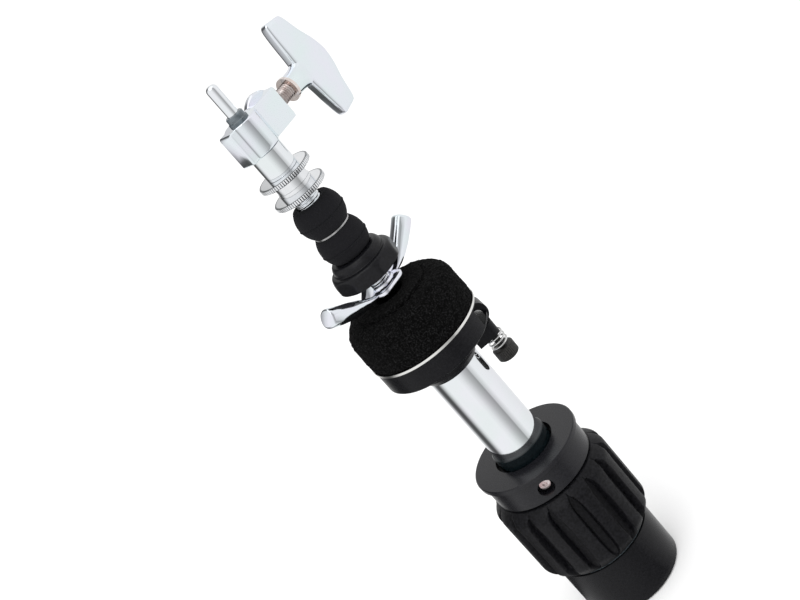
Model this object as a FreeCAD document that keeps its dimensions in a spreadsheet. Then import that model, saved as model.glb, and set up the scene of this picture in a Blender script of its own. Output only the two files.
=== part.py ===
"""Upper unit of a hi-hat cymbal stand: clutch, pull rod, tilting seat, tube and spring tension dial.

Millimetres. The origin is the centre of the bottom face of the lower collar, +Z runs up the pull rod
and +X is the side of the clutch that carries the wing bolt.
"""
import FreeCAD, Part
import Sketcher
import math
import os
from FreeCAD import Placement, Rotation, Vector

DIMENSIONS = {
    # pull rod and its return spring
    "rod_radius": 3.0,
    "rod_bottom": 29.0,
    "rod_top": 343.5,
    "rod_clearance": 0.1,
    "clip_groove_radius": 2.4,
    "clip_thickness": 1.0,
    "clip_radius": 5.0,
    "spring_seat_radius": 12.5,
    "spring_seat_plate": 3.0,
    "spring_seat_hub_radius": 6.0,
    "spring_seat_hub": 3.0,
    "return_spring_radius": 9.5,
    "return_spring_wire": 0.9,
    "coupling_height": 13.0,
    "coupling_radius": 5.2,
    "coupling_thread_radius": 2.5,
    # lower collar, core tube and carrier
    "lower_collar_radius": 28.3,
    "lower_collar_height": 31.7,
    "socket_radius": 12.75,
    "socket_depth": 22.0,
    "core_radius": 18.0,
    "core_bore": 14.4,
    "core_slot_width": 8.0,
    "core_slot_bottom": 37.0,
    "core_slot_height": 29.0,
    "carrier_bottom": 46.0,
    "carrier_height": 6.0,
    "carrier_bore": 4.0,
    "carrier_lug_reach": 20.4,
    "thread_ring_bore": 20.5,
    "thread_ring_radius": 24.0,
    "thread_ring_height": 32.0,
    # tension dial
    "dial_bottom": 32.5,
    "dial_top": 83.1,
    "dial_radius": 30.0,
    "dial_neck_radius": 29.0,
    "dial_ramp": 6.0,
    "fin_radius": 34.0,
    "fin_count": 16,
    "fin_width": 6.6,
    "dial_end_ring": 1.6,
    "thrust_washer": 0.7,
    "thrust_washer_radius": 27.0,
    # upper collar, sleeve and tube
    "collar_bottom": 83.9,
    "collar_height": 17.1,
    "collar_radius": 28.7,
    "collar_bore": 17.35,
    "flange_radius": 30.5,
    "flange_height": 2.6,
    "collar_spigot": 4.1,
    "sleeve_radius": 15.6,
    "sleeve_step": 8.0,
    "sleeve_top": 106.8,
    "screw_height": 90.8,
    "screw_radius": 2.5,
    "screw_head_radius": 2.9,
    "screw_head_height": 2.0,
    "screw_recess_radius": 4.5,
    "screw_recess_depth": 6.0,
    "tube_radius": 14.4,
    "tube_bore": 12.8,
    "tube_bottom": 80.0,
    "tube_top": 170.0,
    "bush_flange": 2.0,
    "bush_length": 12.0,
    # seat
    "hub_radius": 17.4,
    "hub_bottom": 162.8,
    "hub_height": 9.2,
    "hub_foot_radius": 15.0,
    "hub_taper": 3.3,
    "boss_radius": 12.0,
    "boss_height": 7.0,
    "seat_bush_radius": 6.0,
    "seat_bush_flange_radius": 7.5,
    "seat_bush_flange": 1.5,
    "hinge_height": 176.0,
    "hinge_pin_radius": 1.75,
    "hinge_pin_start": 8.0,
    "hinge_pin_end": 24.0,
    "cup_bottom": 173.4,
    "cup_top": 185.7,
    "cup_radius": 30.6,
    "cup_edge_radius": 30.6,
    "cup_edge_height": 0.8,
    "cup_foot_radius": 29.9,
    "cup_cavity_radius": 19.5,
    "cup_cavity_height": 8.4,
    "cup_hole": 9.0,
    "cup_notch_width": 33.0,
    "cup_notch_height": 9.4,
    "cup_notch_start": 20.8,
    "cup_notch_side": 18.5,
    "cup_boss_radius": 6.2,
    "cup_boss_length": 12.0,
    "cup_floor": 1.7,
    "screw_way_play": 1.0,
    "plate_radius": 31.2,
    "plate_height": 1.3,
    "felt_radius": 31.0,
    "felt_height": 23.8,
    "felt_top_radius": 24.5,
    "felt_shoulder": 5.5,
    "felt_bore": 8.0,
    "top_felt_radius": 19.5,
    "top_felt_height": 2.6,
    # tilt adjuster
    "tilt_radius": 25.2,
    "lug_end": 29.2,
    "lug_width": 11.0,
    "lug_bottom": 160.4,
    "lug_height": 8.0,
    "tilt_screw_radius": 1.9,
    "tilt_screw_top": 181.0,
    "tilt_knob_radius": 5.9,
    "tilt_knob_bottom": 145.5,
    "tilt_knob_height": 6.8,
    "tilt_spring_radius": 4.7,
    "tilt_spring_wire": 0.5,
    "barrel_nut_radius": 3.0,
    "barrel_nut_length": 15.0,
    "barrel_nut_height": 176.0,
    # clutch
    "sleeve_thread_radius": 6.4,
    "clutch_bottom": 216.7,
    "barrel_bottom": 292.2,
    "barrel_radius": 8.4,
    "block_bottom": 305.2,
    "block_height": 17.8,
    "block_thickness": 9.6,
    "block_left": 12.5,
    "block_right": 24.0,
    "block_round": 1.6,
    "boss_bulge_radius": 8.9,
    "ear_radius": 11.2,
    "ear_reach": 17.3,
    "ear_front": 2.5,
    "ear_depth": 5.0,
    "spigot_radius": 6.0,
    "spigot_height": 4.0,
    "cap_radius": 4.6,
    "cap_height": 4.0,
    "cap_spigot_radius": 4.0,
    "cap_spigot": 3.5,
    "bolt_height": 314.9,
    "bolt_radius": 4.0,
    "bolt_start": 6.5,
    "shoe_radius": 2.8,
    "bolt_washer_start": 32.4,
    "bolt_washer_height": 1.6,
    "bolt_washer_radius": 6.4,
    "wing_stem_radius": 5.8,
    "wing_thickness": 7.0,
    "wing_inner": 45.5,
    "wing_outer": 65.6,
    "wing_half_length": 28.0,
    "lock_nut_radius": 14.2,
    "lock_nut_disc": 2.5,
    "upper_nut_hub_radius": 8.7,
    "upper_nut_hub": 5.3,
    "lower_nut_hub_radius": 9.1,
    "lower_nut_hub": 3.15,
    "nut_gap": 0.05,
    "knurl_count": 72,
    "knurl_depth": 0.45,
    # cymbal felts and washers
    "felt_clearance": 0.2,
    "upper_ball_radius": 12.7,
    "upper_ball_bottom": 256.8,
    "upper_ball_height": 16.4,
    "thin_washer_height": 0.8,
    "thin_washer_radius": 9.8,
    "lower_ball_radius": 12.7,
    "lower_ball_height": 15.2,
    "lobed_washer_bottom": 227.2,
    "lobed_upper_radius": 14.4,
    "lobed_upper_height": 5.2,
    "lobed_lower_radius": 17.9,
    "lobe_count": 8,
    "lobe_corner_radius": 18.6,
    # wing nut
    "wing_nut_hub_radius": 7.4,
    "wing_nut_hub_height": 4.0,
    "wing_nut_base_radius": 11.5,
    "wing_nut_base_height": 2.3,
    "arm_start_height": 3.3,
    "arm_start_radius": 4.0,
    "arm_knee_height": 4.5,
    "arm_knee_radius": 20.0,
    "arm_end_height": 13.1,
    "arm_end_radius": 35.0,
    "arm_root_thickness": 3.3,
    "arm_knee_thickness": 4.2,
    "arm_tip_thickness": 4.9,
}
TILT_ANGLE = -35.0
HINGE_ANGLE = TILT_ANGLE + 90.0
SCREW_ANGLES = (-134.5, -14.5, 105.5)
WING_ANGLE = -5.0
SPRING_COILS = 5.0
TILT_SPRING_COILS = 3.0

doc = FreeCAD.newDocument("hi_hat_upper_unit")
sheet = doc.addObject("Spreadsheet::Sheet", "Sheet")
for row, (alias, number) in enumerate(DIMENSIONS.items(), start=1):
    sheet.set(f"A{row}", alias.replace("_", " "))
    sheet.set(f"B{row}", str(number))
    sheet.setAlias(f"B{row}", alias)
doc.recompute()


class Size(float):
    """A number worked out from the sheet, which keeps the expression that gives it."""

    def __new__(cls, number, text=None):
        size = super().__new__(cls, number)
        size.text = text if text else repr(float(number))
        return size

    def joined(self, sign, other, number):
        other = other if isinstance(other, Size) else Size(other)
        return Size(number, f"({self.text} {sign} {other.text})")

    def __add__(self, other):
        return self.joined("+", other, float(self) + float(other))

    def __sub__(self, other):
        return self.joined("-", other, float(self) - float(other))

    def __mul__(self, other):
        return self.joined("*", other, float(self) * float(other))

    def __truediv__(self, other):
        return self.joined("/", other, float(self) / float(other))

    def __neg__(self):
        return Size(-float(self), f"(0 - {self.text})")


class Sizes:
    """Attribute access to the sheet's cells as Size values."""

    def __getattr__(self, alias):
        return Size(getattr(sheet, alias), f"Sheet.{alias}")


s = Sizes()
ZERO = Size(0.0)
pieces = []


def bind(item, **sizes):
    """Bind properties of a document object to the sheet."""
    for name, size in sizes.items():
        if isinstance(size, Size):
            item.setExpression(name, size.text)
        else:
            setattr(item, name, size)
    return item


def place(item, x=ZERO, y=ZERO, z=ZERO, axis=Vector(0, 0, 1), angle=0.0):
    """Turn an object about an axis through its own origin and bind where it stands."""
    item.Placement = Placement(Vector(float(x), float(y), float(z)), Rotation(axis, angle))
    for letter, size in (("x", x), ("y", y), ("z", z)):
        item.setExpression(f"Placement.Base.{letter}", size.text)
    return item


def piece(item, label):
    """Register a finished sub-part under the name of its node."""
    item.Label = label
    pieces.append(item)
    return item


def origin_plane(body, role):
    return next(item for item in body.Origin.OriginFeatures if item.Role == role)


def polygon(sketch, points):
    """A closed outline through the points, each held by bound distances from the sketch's origin."""
    corners = [Vector(float(x), float(y), 0) for x, y in points]
    for start, end in zip(corners, corners[1:] + corners[:1]):
        sketch.addGeometry(Part.LineSegment(start, end))
    count = len(points)
    for index in range(count):
        sketch.addConstraint(Sketcher.Constraint("Coincident", index, 2, (index + 1) % count, 1))
    for index, (x, y) in enumerate(points):
        for kind, size, line in (("DistanceX", x, -2), ("DistanceY", y, -1)):
            if float(size) == 0.0:
                sketch.addConstraint(Sketcher.Constraint("PointOnObject", index, 1, line))
            else:
                number = sketch.addConstraint(Sketcher.Constraint(kind, -1, 1, index, 1, float(size)))
                sketch.setExpression(f"Constraints[{number}]", size.text)


def new_sketch(body, name, role):
    sketch = body.newObject("Sketcher::SketchObject", name)
    sketch.AttachmentSupport = (origin_plane(body, role), [""])
    sketch.MapMode = "FlatFace"
    return sketch


def turned(name, points, role="XZ_Plane"):
    """A body turned about Z from an outline of (radius, height) points."""
    body = doc.addObject("PartDesign::Body", name)
    sketch = new_sketch(body, f"{name}_outline", role)
    polygon(sketch, points)
    turn = body.newObject("PartDesign::Revolution", f"{name}_turn")
    turn.Profile = sketch
    turn.ReferenceAxis = (sketch, ["V_Axis"])
    turn.Angle = 360.0
    sketch.Visibility = False
    return body


def ring(name, inner, outer, bottom, top):
    return turned(name, [(inner, bottom), (outer, bottom), (outer, top), (inner, top)])


def cylinder(name, radius, height, **spot):
    return place(bind(doc.addObject("Part::Cylinder", name), Radius=radius, Height=height), **spot)


def box(name, length, width, height, **spot):
    return place(bind(doc.addObject("Part::Box", name), Length=length, Width=width, Height=height), **spot)


def cut(name, base, tool):
    result = doc.addObject("Part::Cut", name)
    result.Base = base
    result.Tool = tool
    return result


def fused(name, *items):
    result = doc.addObject("Part::MultiFuse", name)
    result.Shapes = list(items)
    result.Refine = True
    return result


def radial(name, radius, start, end, height, angle):
    """A cylinder that points away from the Z axis, from one radius to another."""
    turn = math.radians(angle)
    spot = {"x": start * math.cos(turn), "y": start * math.sin(turn), "z": height}
    tilt = Rotation(Vector(0, 0, 1), angle) * Rotation(Vector(0, 1, 0), 90)
    item = bind(doc.addObject("Part::Cylinder", name), Radius=radius, Height=end - start)
    return place(item, axis=tilt.Axis, angle=math.degrees(tilt.Angle), **spot)


def rounded(name, base, radius, wanted):
    """Fillet the edges of a finished object that the wanted function picks."""
    doc.recompute()
    result = doc.addObject("Part::Fillet", name)
    result.Base = base
    edges = [number for number, edge in enumerate(base.Shape.Edges, start=1) if wanted(edge)]
    result.Edges = [(number, float(radius), float(radius)) for number in edges]
    return result


def knurled(name, disc, radius, bottom, top, count, depth):
    """Cut straight V grooves round the rim of a turned body."""
    sketch = new_sketch(disc, f"{name}_groove", "XY_Plane")
    rim = radius + 0.2
    polygon(sketch, [(radius - depth, ZERO), (rim, -depth), (rim, depth)])
    sketch.setExpression("AttachmentOffset.Base.z", bottom.text)
    pocket = disc.newObject("PartDesign::Pocket", f"{name}_pocket")
    pocket.Profile = sketch
    pocket.Reversed = True
    pocket.setExpression("Length", (top - bottom).text)
    pattern = disc.newObject("PartDesign::PolarPattern", f"{name}_pattern")
    pattern.Originals = [pocket]
    pattern.Axis = (sketch, ["N_Axis"])
    pattern.Angle = 360.0
    pattern.setExpression("Occurrences", count.text)
    disc.Tip = pattern
    sketch.Visibility = False
    return disc


def coil(name, radius, wire, bottom, top, turns, x=0.0, y=0.0):
    """A closed-wire compression spring between two heights."""
    item = doc.addObject("Part::Feature", name)
    length = float(top) - float(bottom) - 2.0 * float(wire)
    helix = Part.makeHelix(length / turns, length, float(radius))
    section = Part.Wire([Part.makeCircle(float(wire), Vector(float(radius), 0, 0), Vector(0, 1, 0))])
    item.Shape = Part.Wire(helix.Edges).makePipeShell([section], True, True)
    item.Placement = Placement(Vector(x, y, float(bottom) + float(wire)), Rotation())
    return item


# ---- pull rod with its coupling, clip and spring seat --------------------------------------------
bush_bottom = s.tube_bottom - s.bush_flange
seat_top = bush_bottom - 0.05
seat_plate_bottom = seat_top - s.spring_seat_plate
seat_hub_bottom = seat_plate_bottom - s.spring_seat_hub
clip_bottom = seat_hub_bottom - s.clip_thickness
rod_body = turned("rod_blank", [
    (ZERO, s.rod_bottom), (s.rod_radius, s.rod_bottom), (s.rod_radius, clip_bottom),
    (s.clip_groove_radius, clip_bottom), (s.clip_groove_radius, seat_hub_bottom),
    (s.rod_radius, seat_hub_bottom), (s.rod_radius, s.rod_top), (ZERO, s.rod_top)])
rod = rounded("rod_rounded", rod_body, s.rod_radius * 0.75,
              lambda edge: edge.BoundBox.ZMin > float(s.rod_top) - 0.01)
piece(rod, "pull_rod")

piece(turned("spring_seat_turned", [
    (s.rod_radius, seat_hub_bottom), (s.spring_seat_hub_radius, seat_hub_bottom),
    (s.spring_seat_hub_radius, seat_plate_bottom), (s.spring_seat_radius, seat_plate_bottom),
    (s.spring_seat_radius, seat_top), (s.rod_radius, seat_top)]), "rod_spring_seat")
clip_ring = ring("clip_ring", s.clip_groove_radius, s.clip_radius, clip_bottom, seat_hub_bottom)
clip_gap = box("clip_gap", s.clip_radius + 1.0, s.clip_groove_radius * 1.6, s.clip_thickness + 1.0,
               y=-s.clip_groove_radius * 0.8, z=clip_bottom - 0.5)
piece(cut("clip_cut", clip_ring, clip_gap), "rod_circlip")

coupling_bottom = s.rod_bottom - s.coupling_height / 2
hexagon = place(bind(doc.addObject("Part::Prism", "coupling_hexagon"), Polygon=6,
                     Circumradius=s.coupling_radius, Height=s.coupling_height), z=coupling_bottom)
coupling_bore = turned("coupling_bore", [
    (ZERO, coupling_bottom), (s.coupling_thread_radius, coupling_bottom),
    (s.coupling_thread_radius, s.rod_bottom), (s.rod_radius, s.rod_bottom),
    (s.rod_radius, coupling_bottom + s.coupling_height), (ZERO, coupling_bottom + s.coupling_height)])
piece(cut("coupling_cut", hexagon, coupling_bore), "rod_coupling")

# ---- lower collar, slotted core tube and sliding spring carrier ----------------------------------
edge_break = Size(1.2)
lower_top = s.lower_collar_height
piece(turned("lower_collar_turned", [
    (s.socket_radius, ZERO), (s.lower_collar_radius - edge_break, ZERO),
    (s.lower_collar_radius, edge_break), (s.lower_collar_radius, lower_top),
    (s.core_radius, lower_top), (s.core_radius, s.socket_depth),
    (s.socket_radius, s.socket_depth)]), "lower_collar")

core_top = s.collar_bottom + s.collar_spigot
core_ring = ring("core_ring", s.core_bore, s.core_radius, s.socket_depth, core_top)
core_slots = box("core_slots", s.core_radius * 2.4, s.core_slot_width, s.core_slot_height,
                 x=-s.core_radius * 1.2, y=-s.core_slot_width / 2, z=s.core_slot_bottom)
piece(cut("core_cut", core_ring, core_slots), "core_tube")

carrier_top = s.carrier_bottom + s.carrier_height
lug_play = Size(0.2)
carrier_disc = ring("carrier_disc", s.carrier_bore, s.core_bore - s.rod_clearance,
                    s.carrier_bottom, carrier_top)
lug_width = s.core_slot_width - lug_play * 2
carrier_bar = box("carrier_bar", s.carrier_lug_reach * 2, lug_width, s.carrier_height,
                  x=-s.carrier_lug_reach, y=-lug_width / 2, z=s.carrier_bottom)
carrier_inside = cylinder("carrier_inside", s.core_bore - 1.0, s.carrier_height + 2.0,
                          z=s.carrier_bottom - 1.0)
carrier_lugs = cut("carrier_lugs", carrier_bar, carrier_inside)
lug_round = cylinder("carrier_round", s.carrier_lug_reach, s.carrier_height, z=s.carrier_bottom)
carrier_tips = doc.addObject("Part::Common", "carrier_tips")
carrier_tips.Base = carrier_lugs
carrier_tips.Tool = lug_round
piece(fused("carrier_fused", carrier_disc, carrier_tips), "spring_carrier")
spring_play = Size(0.15)
piece(coil("spring_wire", s.return_spring_radius, s.return_spring_wire, carrier_top + spring_play,
           seat_plate_bottom - spring_play, SPRING_COILS), "return_spring")

# ---- tension dial --------------------------------------------------------------------------------
ring_bottom = s.dial_bottom + s.dial_end_ring
ring_top = ring_bottom + s.thread_ring_height
running_bore = s.core_radius + s.rod_clearance
dial_body = turned("dial_blank", [
    (s.thread_ring_radius, s.dial_bottom), (s.dial_neck_radius - 1.0, s.dial_bottom),
    (s.dial_radius, s.dial_bottom + s.dial_ramp), (s.dial_radius, s.dial_top - s.dial_ramp),
    (s.dial_neck_radius, s.dial_top), (running_bore, s.dial_top), (running_bore, ring_top),
    (s.thread_ring_radius, ring_top)])
fin_sketch = new_sketch(dial_body, "fin_outline", "XZ_Plane")
fin_root = s.dial_neck_radius - 2.5
polygon(fin_sketch, [
    (fin_root, s.dial_bottom + 0.6), (s.dial_neck_radius - 0.6, s.dial_bottom + 0.6),
    (s.fin_radius, s.dial_bottom + s.dial_ramp * 1.6), (s.fin_radius, s.dial_top - s.dial_ramp * 1.1),
    (s.dial_neck_radius, s.dial_top - 0.8), (fin_root, s.dial_top - 0.8)])
fin = dial_body.newObject("PartDesign::Pad", "fin_pad")
fin.Profile = fin_sketch
fin.Midplane = True
fin.setExpression("Length", s.fin_width.text)
fin_pattern = dial_body.newObject("PartDesign::PolarPattern", "fin_pattern")
fin_pattern.Originals = [fin]
fin_pattern.Axis = (fin_sketch, ["V_Axis"])
fin_pattern.Angle = 360.0
fin_pattern.setExpression("Occurrences", s.fin_count.text)
dial_body.Tip = fin_pattern
fin_sketch.Visibility = False
piece(dial_body, "tension_dial_grip")
piece(ring("thread_ring_turned", s.thread_ring_bore, s.thread_ring_radius, ring_bottom, ring_top),
      "dial_thread_ring")
piece(ring("end_ring_turned", running_bore, s.thread_ring_radius, s.dial_bottom, ring_bottom),
      "dial_end_ring")
washer_low = ring("washer_low", running_bore, s.thrust_washer_radius, lower_top,
                  lower_top + s.thrust_washer)
washer_high = ring("washer_high", running_bore, s.thrust_washer_radius,
                   s.collar_bottom - s.thrust_washer, s.collar_bottom)
piece(fused("washers_fused", washer_low, washer_high), "dial_thrust_washers")

# ---- upper collar, sleeve, set screws and tube ---------------------------------------------------
collar_top = s.collar_bottom + s.collar_height
flange_bottom = collar_top - s.flange_height
flange_break = Size(0.5)
collar_turned = turned("collar_turned", [
    (s.core_radius, s.collar_bottom), (s.collar_radius - flange_break, s.collar_bottom),
    (s.collar_radius, s.collar_bottom + flange_break),
    (s.collar_radius, flange_bottom), (s.flange_radius, flange_bottom),
    (s.flange_radius, collar_top - flange_break), (s.flange_radius - flange_break, collar_top),
    (s.collar_bore, collar_top), (s.collar_bore, core_top), (s.core_radius, core_top)])
recess_floor = s.collar_radius - s.screw_recess_depth
sleeve_step_top = core_top + s.sleeve_step
sleeve_break = Size(0.4)
sleeve_turned = turned("sleeve_turned", [
    (s.tube_radius, core_top), (s.collar_bore, core_top), (s.collar_bore, sleeve_step_top),
    (s.sleeve_radius, sleeve_step_top), (s.sleeve_radius, s.sleeve_top - sleeve_break),
    (s.sleeve_radius - sleeve_break, s.sleeve_top), (s.tube_radius, s.sleeve_top)])
screws = []
collar_tools = []
sleeve_tools = []
for number, angle in enumerate(SCREW_ANGLES):
    shank = radial(f"screw_shank_{number}", s.screw_radius, s.tube_radius + 0.1, recess_floor,
                   s.screw_height, angle)
    head = radial(f"screw_head_{number}", s.screw_head_radius, recess_floor,
                  recess_floor + s.screw_head_height, s.screw_height, angle)
    socket = radial(f"screw_socket_{number}", s.screw_radius * 0.55,
                    recess_floor + s.screw_head_height * 0.4, recess_floor + s.screw_head_height + 1.0,
                    s.screw_height, angle)
    screws.append(cut(f"screw_{number}", fused(f"screw_solid_{number}", shank, head), socket))
    recess = radial(f"screw_recess_{number}", s.screw_recess_radius, recess_floor,
                    s.collar_radius + 3.0, s.screw_height, angle)
    thread = radial(f"screw_thread_{number}", s.screw_radius, s.collar_bore - 1.0,
                    recess_floor + 1.0, s.screw_height, angle)
    collar_tools += [recess, thread]
    sleeve_tools.append(radial(f"sleeve_hole_{number}", s.screw_radius, s.tube_radius - 0.5,
                               s.collar_bore + 1.0, s.screw_height, angle))
piece(cut("collar_cut", collar_turned, fused("collar_tools", *collar_tools)), "upper_collar")
piece(cut("sleeve_cut", sleeve_turned, fused("sleeve_tools", *sleeve_tools)), "tube_sleeve")
piece(fused("screws_fused", *screws), "collar_screws")
piece(ring("tube_turned", s.tube_bore, s.tube_radius, s.tube_bottom, s.tube_top), "upper_tube")
rod_hole = s.rod_radius + s.rod_clearance
piece(turned("lower_bush_turned", [
    (rod_hole, bush_bottom), (s.tube_radius, bush_bottom), (s.tube_radius, s.tube_bottom),
    (s.tube_bore, s.tube_bottom), (s.tube_bore, s.tube_bottom + s.bush_length),
    (rod_hole, s.tube_bottom + s.bush_length)]), "lower_rod_bush")

# ---- seat base with its bush, hinge pins and lug -------------------------------------------------
hub_top = s.hub_bottom + s.hub_height
boss_top = hub_top + s.boss_height
base_turned = turned("base_turned", [
    (s.tube_radius, s.hub_bottom), (s.hub_foot_radius, s.hub_bottom),
    (s.hub_radius, s.hub_bottom + s.hub_taper), (s.hub_radius, hub_top), (s.boss_radius, hub_top),
    (s.boss_radius, boss_top), (s.seat_bush_radius, boss_top), (s.seat_bush_radius, s.tube_top),
    (s.tube_radius, s.tube_top)])
tilt_out = Vector(math.cos(math.radians(TILT_ANGLE)), math.sin(math.radians(TILT_ANGLE)), 0)
hinge_line = Vector(-tilt_out.y, tilt_out.x, 0)


def tilt_spot(out, along):
    """The x and y of a point given by its distances towards the tilt screw and along the hinge."""
    return {"x": out * tilt_out.x + along * hinge_line.x, "y": out * tilt_out.y + along * hinge_line.y}


tilt_x, tilt_y = tilt_spot(s.tilt_radius, ZERO).values()
lug_start = s.tube_radius + 1.6
lug_bar = box("lug_bar", s.lug_end - lug_start, s.lug_width, s.lug_height, z=s.lug_bottom,
              angle=TILT_ANGLE, **tilt_spot(lug_start, -s.lug_width / 2))
lug_nose = rounded("lug_rounded", lug_bar, s.lug_width * 0.4,
                   lambda edge: edge.BoundBox.ZLength > 5.0
                   and math.hypot(edge.CenterOfMass.x, edge.CenterOfMass.y) > float(s.tilt_radius))
screw_play = Size(0.3)
lug_hole = cylinder("lug_hole", s.tilt_screw_radius + screw_play, s.lug_height + 2.0,
                    x=tilt_x, y=tilt_y, z=s.lug_bottom - 1.0)
tube_room = cylinder("tube_room", s.tube_radius + 0.2, s.hub_bottom - s.lug_bottom + 1.0,
                     z=s.lug_bottom - 1.0)
tube_seat = cylinder("tube_seat", s.tube_radius, s.hub_height - 2.0, z=s.hub_bottom)
pin_holes = [radial(f"pin_hole_{side}", s.hinge_pin_radius, s.hinge_pin_start,
                    s.boss_radius + 1.0, s.hinge_height, HINGE_ANGLE + 180.0 * side) for side in range(2)]
base_solid = fused("base_solid", base_turned, lug_nose)
piece(cut("base_cut", base_solid, fused("base_tools", lug_hole, tube_room, tube_seat, *pin_holes)),
      "seat_base")
bush_top = boss_top + s.seat_bush_flange
piece(turned("seat_bush_turned", [
    (rod_hole, s.tube_top), (s.seat_bush_radius, s.tube_top), (s.seat_bush_radius, boss_top),
    (s.seat_bush_flange_radius, boss_top), (s.seat_bush_flange_radius, bush_top),
    (rod_hole, bush_top)]), "seat_rod_bush")
pins = [radial(f"hinge_pin_{side}", s.hinge_pin_radius, s.hinge_pin_start, s.hinge_pin_end,
               s.hinge_height, HINGE_ANGLE + 180.0 * side) for side in range(2)]
piece(fused("pins_fused", *pins), "seat_hinge_pins")

# ---- tilting cup, plate and felts ----------------------------------------------------------------
cup_turned = turned("cup_turned", [
    (s.cup_cavity_radius, s.cup_bottom), (s.cup_foot_radius, s.cup_bottom),
    (s.cup_edge_radius, s.cup_bottom + s.cup_edge_height), (s.cup_radius, s.cup_top),
    (s.cup_hole, s.cup_top), (s.cup_hole, s.cup_bottom + s.cup_cavity_height),
    (s.cup_cavity_radius, s.cup_bottom + s.cup_cavity_height)])
notch_floor = s.cup_bottom + s.cup_floor
notch_box = box("notch_box", s.cup_notch_start, s.cup_notch_width, s.cup_notch_height,
                z=notch_floor, angle=TILT_ANGLE, **tilt_spot(s.cup_notch_start, -s.cup_notch_side))
notch_core = cylinder("notch_core", s.cup_notch_start + s.cup_floor, s.cup_notch_height + 2.0,
                      z=notch_floor - 1.0)
notch = cut("notch", notch_box, notch_core)
screw_way = cylinder("screw_way", s.tilt_screw_radius + s.screw_way_play,
                     s.tilt_screw_top - s.barrel_nut_height + s.cup_boss_radius + 3.0,
                     x=tilt_x, y=tilt_y, z=s.barrel_nut_height - s.cup_boss_radius - 1.0)
cross_turn = Rotation(Vector(0, 0, 1), HINGE_ANGLE) * Rotation(Vector(0, 1, 0), 90)


def crossing(name, radius, length):
    """A rod parallel to the hinge whose middle is on the tilt screw at the height of its nut."""
    return cylinder(name, radius, length, z=s.barrel_nut_height, axis=cross_turn.Axis,
                    angle=math.degrees(cross_turn.Angle), **tilt_spot(s.tilt_radius, -length / 2))


nut_bed = crossing("nut_bed", s.barrel_nut_radius, s.barrel_nut_length)
cup_pin_holes = [radial(f"cup_pin_hole_{side}", s.hinge_pin_radius + 0.05, s.cup_cavity_radius - 1.5,
                        s.hinge_pin_end + 0.5, s.hinge_height, HINGE_ANGLE + 180.0 * side)
                 for side in range(2)]
cup_boss = crossing("cup_boss", s.cup_boss_radius, s.cup_boss_length)
cup_open = cut("cup_open", cup_turned, notch)
piece(cut("cup_cut", fused("cup_solid", cup_open, cup_boss),
          fused("cup_tools", nut_bed, screw_way, *cup_pin_holes)), "seat_cup")
nut_bar = crossing("nut_bar", s.barrel_nut_radius, s.barrel_nut_length)
nut_hole = cylinder("nut_hole", s.tilt_screw_radius + screw_play * 1.5, s.barrel_nut_radius * 2 + 2.0,
                    x=tilt_x, y=tilt_y, z=s.barrel_nut_height - s.barrel_nut_radius - 1.0)
piece(cut("nut_cut", nut_bar, nut_hole), "tilt_nut")
plate_top = s.cup_top + s.plate_height
piece(ring("plate_turned", s.cup_hole, s.plate_radius, s.cup_top, plate_top), "seat_plate")
felt_top = plate_top + s.felt_height
piece(turned("felt_turned", [
    (s.felt_bore, plate_top), (s.felt_radius - 0.6, plate_top), (s.felt_radius, plate_top + 2.0),
    (s.felt_radius, felt_top - s.felt_shoulder), (s.felt_top_radius, felt_top),
    (s.felt_bore, felt_top)]), "seat_felt")
piece(ring("top_felt_turned", s.felt_bore, s.top_felt_radius, felt_top,
           felt_top + s.top_felt_height), "seat_top_felt")

# ---- tilt screw, knurled knob and spring ---------------------------------------------------------
knob_top = s.tilt_knob_bottom + s.tilt_knob_height
knob_break = Size(0.6)
knob = turned("knob_turned", [
    (ZERO, s.tilt_knob_bottom), (s.tilt_knob_radius - knob_break, s.tilt_knob_bottom),
    (s.tilt_knob_radius, s.tilt_knob_bottom + knob_break),
    (s.tilt_knob_radius, knob_top - knob_break), (s.tilt_knob_radius - knob_break, knob_top),
    (s.tilt_screw_radius, knob_top), (s.tilt_screw_radius, s.tilt_knob_bottom + 2.0),
    (ZERO, s.tilt_knob_bottom + 2.0)])
knurled("knob", knob, s.tilt_knob_radius, s.tilt_knob_bottom, knob_top, s.knurl_count / 2,
        s.knurl_depth * 0.7)
place(knob, x=tilt_x, y=tilt_y)
piece(knob, "tilt_knob")
piece(cylinder("tilt_screw_shank", s.tilt_screw_radius, s.tilt_screw_top - s.tilt_knob_bottom - 2.0,
               x=tilt_x, y=tilt_y, z=s.tilt_knob_bottom + 2.0), "tilt_screw")
piece(coil("tilt_spring_wire", s.tilt_spring_radius, s.tilt_spring_wire, knob_top + spring_play,
           s.lug_bottom, TILT_SPRING_COILS, float(tilt_x), float(tilt_y)), "tilt_spring")

# ---- clutch --------------------------------------------------------------------------------------
block_top = s.block_bottom + s.block_height
piece(turned("clutch_tube_turned", [
    (rod_hole, s.clutch_bottom), (s.sleeve_thread_radius - 0.6, s.clutch_bottom),
    (s.sleeve_thread_radius, s.clutch_bottom + 0.6), (s.sleeve_thread_radius, s.barrel_bottom),
    (s.barrel_radius, s.barrel_bottom), (s.barrel_radius, s.block_bottom),
    (s.spigot_radius, s.block_bottom), (s.spigot_radius, s.block_bottom + s.spigot_height),
    (rod_hole, s.block_bottom + s.spigot_height)]), "clutch_tube")
block_bar = box("block_bar", s.block_left + s.block_right, s.block_thickness, s.block_height,
                x=-s.block_left, y=-s.block_thickness / 2, z=s.block_bottom)
block_soft = rounded("block_rounded", block_bar, s.block_round,
                     lambda edge: edge.BoundBox.ZLength > 1.0
                     or abs(edge.CenterOfMass.x) > float(s.block_left) - 0.1)
bulge = cylinder("block_bulge", s.boss_bulge_radius, s.block_height, z=s.block_bottom)
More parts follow.
